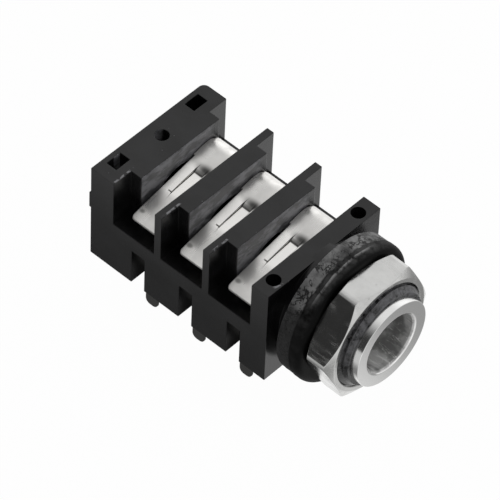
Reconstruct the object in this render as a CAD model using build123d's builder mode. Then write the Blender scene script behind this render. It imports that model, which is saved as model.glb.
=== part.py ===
from build123d import *
import os
from math import cos, radians, tan

# Panel jack socket for a three-pole plug, lengths in millimetres.
# The bore runs along X and opens at +X, and +Z is up, away from the board.
# X = 0 is the seat of the washers, where a panel would be clamped.

# Plug that the socket takes
plug_dia = 6.35
plug_reach = 30.5

# Metal sleeve that lines the bush
plug_play = 0.075
sleeve_wall = 0.65
sleeve_len = 9.3
flange_rad = 4.87
flange_thick = 0.9
mouth_chamfer = 0.2

# Threaded bush, its shoulder and what is stacked on it
thread_rad = 5.9
thread_play = 0.05
bush_len = 6.87
bush_chamfer = 0.35
washer_overhang = 1.65
shoulder_len = 1.21
washer_ring = 1.8
washer_play = 0.15
inner_washer_thick = 1.6
outer_washer_thick = 1.3
washer_round = 0.4
nut_wall = 0.55
nut_sides = 6
nut_thick = 3.27
nut_spin = 54.5
nut_bevel = 30.0
nut_face_inset = 0.1
nut_mouth_chamfer = 0.25

# Housing block
body_margin = 0.075
body_rise = 6.06
body_drop = 6.26
front_wall = 2.18
rear_wall = 3.06
tip_wall = 1.6
tunnel_play = 0.4

# Contact slots, which are wider at both sides than in the middle
contact_count = 3
contact_pitch = 6.35
slot_play = 0.095
slot_side = 5.45
sill_height = 0.26
floor_drop = 3.7

# Notches in the underside where the pins come out
row_half = 5.715
notch_play = 0.05
notch_height = 4.58
notch_lap = 0.15

# Blind holes in the top face and the gate mark at the rear corner
latch_hole_x = 1.3
latch_hole_y = 1.88
latch_hole_inset = 1.275
latch_hole_half = 5.45
latch_hole_deep = 4.0
round_hole_dia = 1.5
round_hole_deep = 2.0
rear_hole_inset = 1.91
front_hole_half = 5.97
front_hole_inset = 1.14
gate_proud = 0.25
gate_width = 0.6
gate_height = 2.1
gate_level = 1.36

# Contact strip
strip = 0.35
seat_play = 0.05
hinge_play = 0.03
rest_gap = 0.03
arch_width = 3.9
leaf_step = 0.19
leaf_tilt = 11.5
leaf_level = 3.67
arch_bend = 2.125
hinge_back = 0.35
tail_inset = 0.71
tail_dip = 2.0
tail_round = 0.5
tail_bend = 3.0
step_y = 1.75

# Bridge pressed down out of the leaf, which touches the plug
bridge_width = 1.1
slit = 0.06
bridge_near = 2.75
bridge_crease = 0.45
bridge_leg = 0.3
bridge_press = 0.42
bridge_bend = 0.3
bridge_lap = 0.5

# Pins and the fixed break contacts
pin_width = 1.6
pin_len = 4.53
pin_round = 0.625
break_width = 3.0
break_bend = 0.6
break_reach = 1.3

# Places that follow from the sizes above
plug_rad = plug_dia / 2
bore_rad = plug_rad + plug_play
sleeve_rad = bore_rad + sleeve_wall
tunnel_rad = plug_rad + tunnel_play
nut_hole_rad = thread_rad + thread_play
washer_hole_rad = thread_rad + washer_play
washer_rad = washer_hole_rad + washer_ring
shoulder_rad = washer_rad - washer_overhang
body_width = 2 * (washer_rad + body_margin)
nut_seat = inner_washer_thick + outer_washer_thick
body_front = -shoulder_len
slot_middle = arch_width + 2 * slot_play
leaf_width = arch_width - 2 * leaf_step
notch_width = pin_width + 2 * notch_play
slot_first = body_front - front_wall
slot_last = slot_first - (contact_count - 1) * contact_pitch
body_rear = slot_last - slot_side - rear_wall
body_middle = (body_front + body_rear) / 2
sleeve_end = bush_len - sleeve_len
step_half = row_half - strip / 2 - seat_play
seat_half = row_half + strip / 2 + seat_play
slope = radians(leaf_tilt)
pin_tip = -body_drop - pin_len
names = ["sleeve", "ring", "tip"]
os.makedirs("parts", exist_ok=True)


def slot_front(index):
    """X of the front face of a contact slot, counted from the bush."""
    return slot_first - index * contact_pitch


def contact_x(index):
    """X of the middle of a contact."""
    return slot_front(index) - slot_middle / 2


def leaf_point(y, drop=0):
    """Point (y, z) of the leaf's middle plane, or of a plane under it."""
    return (y, leaf_level + y * tan(slope) - (strip / 2 + drop) / cos(slope))


# Housing: one moulding with the open slots, the plug tunnel and the bush
with BuildPart() as housing:
    with BuildSketch(Plane.XY.offset(-body_drop)):
        with Locations((body_middle, 0)):
            Rectangle(body_front - body_rear, body_width)
    extrude(amount=body_rise + body_drop)
    with BuildSketch(Plane.YZ.offset(body_front)):
        Circle(shoulder_rad)
    extrude(amount=shoulder_len)
    with BuildSketch(Plane.YZ):
        Circle(thread_rad)
    extrude(amount=bush_len)
    chamfer(housing.edges().filter_by(GeomType.CIRCLE).sort_by(Axis.X)[-1], length=bush_chamfer)

    # Gate mark on the near rear corner
    with BuildSketch(Plane.YZ.offset(body_rear)):
        with Locations(((gate_width - body_width) / 2, gate_level)):
            Rectangle(gate_width, gate_height)
    extrude(amount=-gate_proud)

    for index in range(contact_count):
        # Upper part of the slot, open at the top and at both sides
        with BuildSketch(Plane.XY.offset(sill_height)):
            with Locations((contact_x(index), 0)):
                Rectangle(slot_middle, body_width)
            side_y = (body_width / 2 + step_half) / 2
            side_x = slot_front(index) - slot_side / 2
            with Locations((side_x, -side_y), (side_x, side_y)):
                Rectangle(slot_side, body_width / 2 - step_half)
        extrude(amount=body_rise - sill_height, mode=Mode.SUBTRACT)
        # Lower part between the sills, down to the floor
        with BuildSketch(Plane.XY.offset(-floor_drop)):
            with Locations((contact_x(index), 0)):
                Rectangle(slot_middle, 2 * seat_half)
        extrude(amount=floor_drop + sill_height, mode=Mode.SUBTRACT)
        # Notches for the two pins
        with BuildSketch(Plane.XY.offset(-body_drop)):
            notch_start = step_half - notch_lap
            notch_y = (body_width / 2 + notch_start) / 2
            with Locations((contact_x(index), -notch_y), (contact_x(index), notch_y)):
                Rectangle(notch_width, body_width / 2 - notch_start)
        extrude(amount=notch_height, mode=Mode.SUBTRACT)

    # Tunnel for the plug, and the wider hole that holds the sleeve
    tunnel_end = max(bush_len + flange_thick - plug_reach, body_rear + tip_wall)
    with BuildSketch(Plane.YZ.offset(tunnel_end)):
        Circle(tunnel_rad)
    extrude(amount=sleeve_end - tunnel_end, mode=Mode.SUBTRACT)
    with BuildSketch(Plane.YZ.offset(sleeve_end)):
        Circle(sleeve_rad)
    extrude(amount=sleeve_len, mode=Mode.SUBTRACT)

    # Blind holes in the top
    with BuildSketch(Plane.XY.offset(body_rise)):
        latch_x = body_rear + latch_hole_inset
        with Locations((latch_x, -latch_hole_half), (latch_x, latch_hole_half)):
            Rectangle(latch_hole_x, latch_hole_y)
    extrude(amount=-latch_hole_deep, mode=Mode.SUBTRACT)
    with BuildSketch(Plane.XY.offset(body_rise)):
        front_x = body_front - front_hole_inset
        with Locations(
            (body_rear + rear_hole_inset, 0),
            (front_x, -front_hole_half),
            (front_x, front_hole_half),
        ):
            Circle(round_hole_dia / 2)
    extrude(amount=-round_hole_deep, mode=Mode.SUBTRACT)
housing.part.label = "housing"
export_step(housing.part, "parts/housing.step")

# Sleeve: a flanged tube in the bush, also the plug's guide
with BuildPart() as ferrule:
    with BuildSketch(Plane.YZ.offset(sleeve_end)):
        Circle(sleeve_rad)
    extrude(amount=sleeve_len)
    with BuildSketch(Plane.YZ.offset(bush_len)):
        Circle(flange_rad)
    extrude(amount=flange_thick)
    with BuildSketch(Plane.YZ.offset(sleeve_end)):
        Circle(bore_rad)
    extrude(amount=sleeve_len + flange_thick, mode=Mode.SUBTRACT)
    mouth = ferrule.edges().filter_by(GeomType.CIRCLE).group_by(Axis.X)[-1].sort_by(SortBy.RADIUS)[0]
    chamfer(mouth, length=mouth_chamfer)
ferrule.part.label = "ferrule"
export_step(ferrule.part, "parts/ferrule.step")

# Two washers that clamp the panel
with BuildPart() as inner_washer:
    with BuildSketch(Plane.YZ):
        Circle(washer_rad)
        Circle(washer_hole_rad, mode=Mode.SUBTRACT)
    extrude(amount=inner_washer_thick)
inner_washer.part.label = "inner_washer"
export_step(inner_washer.part, "parts/inner_washer.step")

with BuildPart() as outer_washer:
    with BuildSketch(Plane.YZ.offset(inner_washer_thick)):
        Circle(washer_rad)
        Circle(washer_hole_rad, mode=Mode.SUBTRACT)
    extrude(amount=outer_washer_thick)
    rim = outer_washer.edges().filter_by(GeomType.CIRCLE).group_by(Axis.X)[-1].sort_by(SortBy.RADIUS)[-1]
    fillet(rim, radius=washer_round)
outer_washer.part.label = "outer_washer"
export_step(outer_washer.part, "parts/outer_washer.step")

# Hexagon nut, bevelled at both faces
nut_front = nut_seat + nut_thick
nut_flats = 2 * (nut_hole_rad + nut_wall)
nut_corner = nut_flats / 2 / cos(radians(180) / nut_sides)
nut_face_rad = nut_flats / 2 - nut_face_inset
bevel_deep = (nut_corner - nut_face_rad) * tan(radians(nut_bevel))
with BuildPart() as hex_nut:
    with BuildSketch(Plane.YZ.offset(nut_seat)):
        RegularPolygon(nut_flats / 2, nut_sides, major_radius=False, rotation=nut_spin)
    extrude(amount=nut_thick)
    with BuildSketch(Plane.XY):
        with BuildLine():
            Polyline(
                (nut_seat, 0),
                (nut_seat, nut_face_rad),
                (nut_seat + bevel_deep, nut_corner),
                (nut_front - bevel_deep, nut_corner),
                (nut_front, nut_face_rad),
                (nut_front, 0),
                close=True,
            )
        make_face()
    revolve(axis=Axis.X, mode=Mode.INTERSECT)
    with BuildSketch(Plane.YZ.offset(nut_seat)):
        Circle(nut_hole_rad)
    extrude(amount=nut_thick, mode=Mode.SUBTRACT)
    hole_rims = hex_nut.faces().filter_by(GeomType.CYLINDER).edges().filter_by(GeomType.CIRCLE)
    chamfer(hole_rims, length=nut_mouth_chamfer)
hex_nut.part.label = "hex_nut"
export_step(hex_nut.part, "parts/hex_nut.step")

# Arch of the contact strip: it turns from the rising leaf into the upright leg
arch_turn = row_half - arch_bend * tan((radians(90) + slope) / 2) * cos(slope)
hinge_y = arch_turn - hinge_back
hinge = leaf_point(hinge_y)
arch_top = leaf_point(row_half)
tail_end = body_width / 2 - tail_inset
tail_tilt = radians(leaf_tilt + tail_dip)
leaf_bend = leaf_point(-row_half)
tail_tip = (-tail_end, leaf_bend[1] - (tail_end - row_half) * tan(tail_tilt))

# Bridge: a level run under the leaf, a crease, and a short leg back up to it
crease_z = plug_rad - bridge_press + strip / 2
bridge_path = [
    leaf_point(-bridge_near - bridge_lap),
    leaf_point(-bridge_near),
    (bridge_crease, crease_z),
    leaf_point(bridge_crease + bridge_leg),
    leaf_point(bridge_crease + bridge_leg + bridge_lap),
]

for index in range(contact_count):
    name = names[index % len(names)]
    middle = contact_x(index)
    side_plane = Plane.YZ.offset(middle)

    # Moving arm: the sprung leaf with its bridge and its tail
    with BuildPart() as arm:
        with BuildSketch(side_plane):
            with BuildLine():
                FilletPolyline(hinge, leaf_bend, tail_tip, radius=tail_bend)
            trace(line_width=strip)
            with Locations(hinge):
                Circle(strip / 2)
        extrude(amount=arch_width / 2, both=True)
        with BuildSketch(Plane.XY):
            with Locations((middle, (hinge_y + strip - tail_end) / 2)):
                leaf_plan = Rectangle(leaf_width, hinge_y + strip + tail_end)
            fillet(leaf_plan.vertices().group_by(Axis.Y)[0], radius=tail_round)
            with Locations((middle, (hinge_y + strip + step_y) / 2)):
                Rectangle(arch_width, hinge_y + strip - step_y)
            window_end = bridge_crease + bridge_leg
            window = bridge_width + 2 * slit
            with Locations((middle, (window_end - bridge_near) / 2)):
                Rectangle(window, window_end + bridge_near, mode=Mode.SUBTRACT)
        extrude(amount=body_rise, mode=Mode.INTERSECT)
        with BuildSketch(side_plane):
            with BuildLine():
                FilletPolyline(*bridge_path, radius=bridge_bend)
            trace(line_width=strip)
        extrude(amount=bridge_width / 2, both=True)
    arm.part.label = f"{name}_spring_arm"
    export_step(arm.part, f"parts/{name}_spring_arm.step")

    # Fixed post: the arch, the leg in its seat and the far pin
    with BuildPart() as post:
        with BuildSketch(side_plane):
            with BuildLine():
                FilletPolyline(hinge, arch_top, (row_half, pin_tip), radius=arch_bend)
            trace(line_width=strip)
            with Locations(hinge):
                Circle(strip / 2 + hinge_play, mode=Mode.SUBTRACT)
        extrude(amount=arch_width / 2, both=True)
        with BuildSketch(Plane.XZ.offset(-body_width)):
            with Locations((middle, (body_rise - floor_drop) / 2)):
                Rectangle(arch_width, body_rise + floor_drop)
            with Locations((middle, (pin_tip - floor_drop) / 2)):
                pin_view = Rectangle(pin_width, -pin_tip - floor_drop)
            fillet(pin_view.vertices().group_by(Axis.Y)[0], radius=pin_round)
        extrude(amount=2 * body_width, mode=Mode.INTERSECT)
    post.part.label = f"{name}_spring_post"
    export_step(post.part, f"parts/{name}_spring_post.step")

    # Break contact: the near pin, its leg and the lip under the leaf
    lip_end = leaf_point(-row_half + break_reach, strip + rest_gap)
    lip_bend = leaf_point(-row_half, strip + rest_gap)
    with BuildPart() as stop:
        with BuildSketch(side_plane):
            with BuildLine():
                FilletPolyline((-row_half, pin_tip), lip_bend, lip_end, radius=break_bend)
            trace(line_width=strip)
        extrude(amount=break_width / 2, both=True)
        with BuildSketch(Plane.XZ.offset(-body_width)):
            with Locations((middle, (body_rise - floor_drop) / 2)):
                Rectangle(break_width, body_rise + floor_drop)
            with Locations((middle, (pin_tip - floor_drop) / 2)):
                pin_view = Rectangle(pin_width, -pin_tip - floor_drop)
            fillet(pin_view.vertices().group_by(Axis.Y)[0], radius=pin_round)
        extrude(amount=2 * body_width, mode=Mode.INTERSECT)
    stop.part.label = f"{name}_break_contact"
    export_step(stop.part, f"parts/{name}_break_contact.step")
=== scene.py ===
"""Looks of the audio jack socket: moulded housing, sleeve, washers, nut and contact strips."""
import logging
import math
from dataclasses import dataclass
from enum import Enum
from typing import Callable, Sequence

import bmesh
import bpy
from mathutils import Matrix, Vector


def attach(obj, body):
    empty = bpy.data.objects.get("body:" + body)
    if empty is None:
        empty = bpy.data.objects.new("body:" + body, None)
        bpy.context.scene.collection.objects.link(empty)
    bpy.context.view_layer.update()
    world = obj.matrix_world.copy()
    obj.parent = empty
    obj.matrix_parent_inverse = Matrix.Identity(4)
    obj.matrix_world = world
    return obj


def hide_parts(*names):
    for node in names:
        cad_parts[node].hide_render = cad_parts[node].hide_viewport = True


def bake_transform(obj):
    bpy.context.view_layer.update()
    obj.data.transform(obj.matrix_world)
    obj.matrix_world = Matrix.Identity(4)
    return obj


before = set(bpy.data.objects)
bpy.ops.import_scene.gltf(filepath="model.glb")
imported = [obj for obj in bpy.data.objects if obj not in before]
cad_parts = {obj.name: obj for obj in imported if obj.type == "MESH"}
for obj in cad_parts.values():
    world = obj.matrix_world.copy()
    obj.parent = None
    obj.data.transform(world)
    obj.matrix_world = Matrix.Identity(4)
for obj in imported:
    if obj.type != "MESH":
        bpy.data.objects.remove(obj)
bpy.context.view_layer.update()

MM = 0.001
ON_PLANE = 0.01  # mm from a plane that still counts as on it
MERGE = 1e-4  # mm between points that are one
STRAIGHT = 0.9  # share of a direction that points along an axis
Color = tuple[float, float, float]
Point = tuple[float, float, float]
Pair = tuple[float, float]
Outline = Sequence[Pair]
Test = Callable[[Vector, Vector], bool]
log = logging.getLogger("jack_socket")


class Pick(Enum):
    """What is selected in edit mode."""

    POINTS = "VERT"
    EDGES = "EDGE"
    FACES = "FACE"


class Join(Enum):
    """How one solid acts on another."""

    CUT = "DIFFERENCE"
    ADD = "UNION"
    KEEP = "INTERSECT"


class Axis(Enum):
    """The way that a cutting plane faces: along the bore, across the socket, or up."""

    ALONG = 0
    ACROSS = 1
    UP = 2


class Term:
    """A shader socket that takes part in plain arithmetic."""

    def __init__(self, paint: "Paint", socket: bpy.types.NodeSocket | None) -> None:
        """Holds the socket and the tree that it belongs to."""
        self.paint = paint
        self.socket = socket

    def math(self, operation: str, *values: "Term | float") -> "Term":
        """Adds a Math node of some values, in order."""
        return self.paint.node("ShaderNodeMath", {"operation": operation}, dict(enumerate(values)))

    def __add__(self, other: "Term | float") -> "Term":
        """The sum."""
        return self.math("ADD", self, other)

    def __radd__(self, other: float) -> "Term":
        """The sum, with the number first."""
        return self.math("ADD", other, self)

    def __sub__(self, other: "Term | float") -> "Term":
        """The difference."""
        return self.math("SUBTRACT", self, other)

    def __rsub__(self, other: float) -> "Term":
        """The difference, with the number first."""
        return self.math("SUBTRACT", other, self)

    def __mul__(self, other: "Term | float") -> "Term":
        """The product."""
        return self.math("MULTIPLY", self, other)

    def __rmul__(self, other: float) -> "Term":
        """The product, with the number first."""
        return self.math("MULTIPLY", other, self)

    def root(self) -> "Term":
        """The square root."""
        return self.math("SQRT", self)

    def magnitude(self) -> "Term":
        """The value without its sign."""
        return self.math("ABSOLUTE", self)

    def least(self, other: "Term | float") -> "Term":
        """The smaller of two values."""
        return self.math("MINIMUM", self, other)

    def most(self, other: "Term | float") -> "Term":
        """The larger of two values."""
        return self.math("MAXIMUM", self, other)

    def wrapped(self, half: float) -> "Term":
        """The value brought back between -half and half, for what repeats."""
        return self.math("WRAP", self, half, -half)

    def span(self, start: float, end: float) -> "Term":
        """Goes smoothly from 0 at one value to 1 at another.

        Args:
            start: the value that gives 0.
            end: the value that gives 1.

        Returns:
            The share, held between 0 and 1.
        """
        if start > end:
            return 1.0 - self.span(end, start)
        sockets = {"Value": self, "From Min": start, "From Max": end}
        return self.paint.node(
            "ShaderNodeMapRange", {"interpolation_type": "SMOOTHSTEP"}, sockets
        )

    def band(self, start: float, full: float, fading: float, end: float) -> "Term":
        """Rises between the first two values, falls between the last two."""
        return self.span(start, full) * self.span(end, fading)


class Paint:
    """The node tree of one finish."""

    def __init__(self, tree: bpy.types.NodeTree) -> None:
        """Starts from an empty tree."""
        self.tree = tree
        tree.nodes.clear()

    def node(
        self,
        kind: str,
        settings: dict | None = None,
        sockets: dict | None = None,
        output: str = "",
    ) -> Term:
        """Adds a node.

        Args:
            kind: the node's type.
            settings: its properties, which are set first.
            sockets: values or links of its inputs, by name or by number.
            output: the name of the output that is wanted, or nothing for the first.

        Returns:
            The output as a term.
        """
        made = self.tree.nodes.new(kind)
        for name, value in (settings or {}).items():
            setattr(made, name, value)
        for key, value in (sockets or {}).items():
            if isinstance(key, int):
                socket = made.inputs[key]
            else:
                socket = next(s for s in made.inputs if s.name == key and s.enabled)
            if isinstance(value, Term):
                self.tree.links.new(value.socket, socket)
            else:
                socket.default_value = value
        if output:
            return Term(self, made.outputs[output])
        return Term(self, next((s for s in made.outputs if s.enabled), None))

    def place(self) -> Term:
        """The point on the piece, in object coordinates."""
        return self.node("ShaderNodeTexCoord", output="Object")

    def axes(self, place: Term) -> tuple[Term, ...]:
        """The three coordinates of a point, in millimetres."""
        parts = self.node("ShaderNodeSeparateXYZ", None, {"Vector": place}).socket.node
        return tuple(Term(self, socket) * (1 / MM) for socket in parts.outputs)

    def point(self, x: Term | float, y: Term | float, z: Term | float) -> Term:
        """A point from three numbers or terms."""
        return self.node("ShaderNodeCombineXYZ", None, {"X": x, "Y": y, "Z": z})

    def stretched(self, place: Term, scale: Point) -> Term:
        """A point with each axis multiplied, for streaks and for scale."""
        return self.node("ShaderNodeMapping", None, {"Vector": place, "Scale": scale})

    def dot(self, first: Term, second: Point) -> Term:
        """How far a vector goes along a direction."""
        return self.node("ShaderNodeVectorMath", {"operation": "DOT_PRODUCT"}, {0: first, 1: second})

    def facing(self, name: str) -> Term:
        """One component of the surface's own normal, without its sign."""
        normal = self.node("ShaderNodeTexCoord", output="Normal")
        return self.node("ShaderNodeSeparateXYZ", None, {"Vector": normal}, name).magnitude()

    def noise(self, place: Term, per_mm: float, detail: float = 3.0, rough: float = 0.5) -> Term:
        """Soft noise from 0 to 1, with so many patches in a millimetre and so many octaves."""
        sockets = {"Vector": place, "Scale": per_mm / MM, "Detail": detail, "Roughness": rough}
        return self.node("ShaderNodeTexNoise", None, sockets)

    def cells(self, place: Term, per_mm: float) -> Term:
        """Distance from the middle of a cell, with so many cells in a millimetre."""
        return self.node("ShaderNodeTexVoronoi", None, {"Vector": place, "Scale": per_mm / MM})

    def strokes(self, place: Term, per_mm: float, width: float) -> Term:
        """Short winding strokes, along the level lines of a noise."""
        level = self.noise(place, per_mm, 2.0) - 0.5
        return level.magnitude().span(width, 0.0)

    def lower_near_shade(self, side: Term, up: Term) -> Term:
        """Painted shade on the lower near side of a washer."""
        return side.span(-4.0, -7.6) * up.span(7.0, 2.0)

    def mix(self, share: Term, first: "Term | Color", second: "Term | Color") -> Term:
        """A colour between two colours.

        Args:
            share: 0 for the first, 1 for the second.
            first: a colour.
            second: a colour.

        Returns:
            The mixed colour.
        """
        sockets = {"Factor": share}
        for key, value in (("A", first), ("B", second)):
            sockets[key] = value if isinstance(value, Term) else (*value, 1.0)
        return self.node("ShaderNodeMix", {"data_type": "RGBA"}, sockets)

    def bump(self, height: Term, depth_mm: float) -> Term:
        """A normal bent by a height, of which 1 is so many millimetres deep."""
        return self.node("ShaderNodeBump", None, {"Distance": depth_mm * MM, "Height": height})

    def finish(self, shader: Term, kind: str = "Material") -> None:
        """Links the shader to the tree's output."""
        self.node(f"ShaderNodeOutput{kind}", None, {"Surface": shader})


@dataclass(frozen=True)
class Finish:
    """What every finish has: its colour and its gloss."""

    name: str
    color: Color
    roughness: float
    metallic: float = 0.0
    ior: float = 1.5
    gloss: float = 0.5

    def surface(self, paint: Paint) -> dict:
        """The sockets of the shader that vary over the surface."""
        raise NotImplementedError

    def material(self) -> bpy.types.Material:
        """Builds the material.

        Returns:
            The material, ready for a piece.
        """
        made = bpy.data.materials.new(self.name)
        made.use_nodes = True
        paint = Paint(made.node_tree)
        sockets = {
            "Base Color": (*self.color, 1.0),
            "Roughness": self.roughness,
            "Metallic": self.metallic,
            "IOR": self.ior,
            "Specular IOR Level": self.gloss,
        }
        sockets.update(self.surface(paint))
        paint.finish(paint.node("ShaderNodeBsdfPrincipled", None, sockets))
        return made

    def shade(self, factor: float) -> Color:
        """The finish's colour, lighter or darker."""
        return tuple(min(1.0, channel * factor) for channel in self.color)


@dataclass(frozen=True)
class MouldedPlastic(Finish):
    """Black moulding: cloudy gloss, slot walls with painted sheen and wear, a chalky thread painted
    lighter towards its top, specks and painted highlights along some top edges.
    """

    wall_sheen_and_wear_tone: float = 70.0
    thread_wear_and_light: float = 38.0
    speck_and_highlight_tone: float = 60.0
    recess_mm: float = 8.97
    pitch_mm: float = 6.35

    def surface(self, paint: Paint) -> dict:
        """Cloudy gloss, a grained skin, wear with painted sheen on the slot walls, chalky wear on
        the thread painted lighter towards its top, a few specks and painted edge highlights.

        Args:
            paint: the finish's node tree.

        Returns:
            The sockets that vary.
        """
        place = paint.place()
        along, side, height = paint.axes(place)
        clouds = paint.noise(paint.stretched(place, (0.7, 1.0, 1.6)), 0.3, 4.0, 0.6)
        skin = paint.noise(place, 7.0, 2.0)
        specks = paint.cells(place, 1.3).span(0.07, 0.03)
        rare = paint.noise(place, 0.9, 0.0).span(0.62, 0.7)
        # Painted sheen: walls facing along the bore are made much lighter in wear-like patches above
        # the strips and left dark lower down; the same patches also roughen like wear.
        walls = paint.facing("X").span(0.5, 0.9) * along.band(-24.3, -24.0, -3.3, -3.0)
        inner = side.band(-5.5, -5.3, 4.0, 5.0) * height.span(1.5, 2.5)
        streaks = paint.noise(paint.stretched(place, (1.0, 0.4, 1.0)), 1.0, 4.0, 0.65)
        wall_wear_and_sheen = walls * inner * (0.3 + 0.7 * streaks.span(0.42, 0.62))
        mottle = paint.noise(place, 1.4, 4.0, 0.7)
        thread = along.span(4.0, 4.6) * mottle.span(0.34, 0.62)
        # Painted light: the thread's chalky wear is real, but it fades towards the bottom so that
        # the top looks lit.
        thread = thread * (0.1 + 0.9 * height.span(-2.5, 3.5))
        edge_highlight = self.edge_highlights(paint, place, along, side) * height.span(5.8, 5.95)
        color = paint.mix(clouds.span(0.3, 0.7), self.shade(0.4), self.shade(2.6))
        color = paint.mix(wall_wear_and_sheen, color, self.shade(self.wall_sheen_and_wear_tone))
        color = paint.mix(thread, color, self.shade(self.thread_wear_and_light))
        # Rare specks, and painted highlights along some top edges, take the pale tone.
        color = paint.mix(specks * rare + edge_highlight, color, self.shade(self.speck_and_highlight_tone))
        return {
            "Base Color": color,
            "Roughness": self.roughness - 0.05 + 0.1 * clouds + 0.15 * wall_wear_and_sheen + 0.3 * thread,
            "Normal": paint.bump(skin + 2.0 * clouds + 1.5 * wall_wear_and_sheen + 4.0 * thread, 0.006),
        }

    def edge_highlights(self, paint: Paint, place: Term, along: Term, side: Term) -> Term:
        """Painted highlights along top edges, in patches like moulding flash, behind the near
        recesses and at the front edge of the top.

        Args:
            paint: the finish's node tree.
            place: the point on the piece.
            along: its coordinate along the bore.
            side: its coordinate across the socket.

        Returns:
            1 on a painted highlight, 0 off it.
        """
        shift = (along + self.recess_mm).wrapped(self.pitch_mm / 2)
        recess = shift.magnitude().span(0.15, 0.06) * along.span(-6.0, -7.0)
        front = (along - 0.2 * side).band(-0.55, -0.4, -0.25, -0.1) * side.span(-6.8, -6.4)
        patches = paint.noise(place, 1.6, 3.0).span(0.47, 0.57)
        return (recess + front) * side.span(-4.9, -5.4) * patches


@dataclass(frozen=True)
class PressedFibre(Finish):
    """Dark pressed fibre, felted and split by dark veins."""

    def surface(self, paint: Paint) -> dict:
        """Grey felted patches, broken by dark strokes towards the front of the rim, with painted
        shade where the rim meets the smooth washer and on the lower near side.

        Args:
            paint: the finish's node tree.

        Returns:
            The sockets that vary.
        """
        place = paint.place()
        along, side, up = paint.axes(place)
        patches = paint.noise(place, 0.6, 3.0, 0.6)
        fibres = paint.noise(paint.stretched(place, (2.0, 1.0, 1.0)), 1.3, 2.0)
        spread = 0.8 + 0.2 * along.span(0.3, 1.3)
        clusters = (paint.noise(place, 0.5, 1.0) * spread).span(0.38, 0.48)
        strokes = paint.strokes(place, 0.9, 0.06) + paint.strokes(place, 1.7, 0.06)
        strokes = strokes * paint.noise(place, 1.5, 1.0).span(0.36, 0.46)
        # Painted shade at the front of the rim, where it meets the smooth washer.
        joint_shade = along.span(1.35, 1.6) * paint.noise(place, 1.3, 1.0).span(0.4, 0.55)
        dark = (strokes * clusters + joint_shade).least(1.0)
        color = paint.mix(patches.span(0.35, 0.65), self.shade(0.45), self.shade(2.0))
        color = paint.mix(dark, color, self.shade(0.05))
        # Painted shade: the lower near side is darkened.
        color = paint.mix(0.92 * paint.lower_near_shade(side, up), color, self.shade(0.1))
        return {
            "Base Color": color,
            "Roughness": self.roughness - 0.12 + 0.3 * fibres,
            "Normal": paint.bump(patches + 0.4 * fibres - 0.8 * dark, 0.08),
        }


@dataclass(frozen=True)
class WornRubber(Finish):
    """Dull black rubber, scuffed grey around the rim, with a painted highlight along its shoulder
    and painted shade low on its near side.
    """

    rim_mm: float = 7.85
    highlight_line_mm: float = 2.2
    scuff: Color = (0.06, 0.06, 0.06)
    # Colour of the painted highlight along the shoulder.
    line: Color = (0.3, 0.3, 0.3)

    def surface(self, paint: Paint) -> dict:
        """Scuffs on the rim, a painted highlight line where the rim turns to the front, and painted
        shade low on the near side.

        Args:
            paint: the finish's node tree.

        Returns:
            The sockets that vary.
        """
        place = paint.place()
        along, side, up = paint.axes(place)
        rim = (side * side + up * up).root().span(self.rim_mm - 0.45, self.rim_mm)
        mottle = paint.noise(place, 0.9, 4.0, 0.65)
        # Painted highlight: a pale line where the rim turns to the front, kept to the upper part.
        from_line = along + 0.25 * paint.noise(place, 0.5, 2.0) - self.highlight_line_mm
        line = from_line.band(-0.08, 0.0, 0.0, 0.3) * mottle.span(0.38, 0.6)
        line = line * up.span(5.0, 7.4) * side.span(3.5, 1.0)
        skin = paint.noise(place, 4.0, 3.0)
        scuffed = rim * mottle.span(0.3, 0.7) * side.span(6.0, 3.0)
        color = paint.mix(scuffed, self.color, self.scuff)
        # Painted shade: the lower near side keeps its plain black, without scuffs.
        color = paint.mix(0.8 * paint.lower_near_shade(side, up), color, self.color)
        color = paint.mix(line * rim, color, self.line)
        return {
            "Base Color": color,
            "Roughness": self.roughness + 0.1 * mottle,
            "Normal": paint.bump(skin + 2.0 * rim * mottle, 0.01),
        }


@dataclass(frozen=True)
class NutPlating(Finish):
    """Satin nickel with fine scratches, dull stains and soft smears."""

    def surface(self, paint: Paint) -> dict:
        """Scratches both ways, stains, smears and a slightly wavy face.

        Args:
            paint: the finish's node tree.

        Returns:
            The sockets that vary.
        """
        place = paint.place()
        stains = paint.noise(place, 0.28, 4.0, 0.6)
        waves = paint.noise(place, 0.28, 1.0)
        along = paint.noise(paint.stretched(place, (0.25, 6.0, 6.0)), 1.4, 3.0, 0.6)
        around = paint.noise(paint.stretched(place, (7.0, 0.5, 0.5)), 1.3, 3.0, 0.6)
        marks = paint.cells(place, 0.7).span(0.1, 0.05)
        smears = paint.noise(paint.stretched(place, (0.5, 1.2, 0.8)), 0.7, 2.0).span(0.42, 0.7)
        streaks = paint.noise(paint.stretched(place, (0.25, 1.5, 1.5)), 1.2, 3.0, 0.6)
        smears = smears * streaks.span(0.4, 0.65)
        color = paint.mix(stains.span(0.35, 0.7), self.shade(1.05), self.shade(0.9))
        color = paint.mix(marks * stains, color, self.shade(0.7))
        return {
            "Base Color": color,
            "Metallic": 1.0 - 0.15 * smears,
            "Roughness": self.roughness - 0.06 + 0.05 * along + 0.22 * smears,
            "Normal": paint.bump(0.4 * along + 0.25 * around + 1.5 * waves, 0.004),
        }


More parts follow.
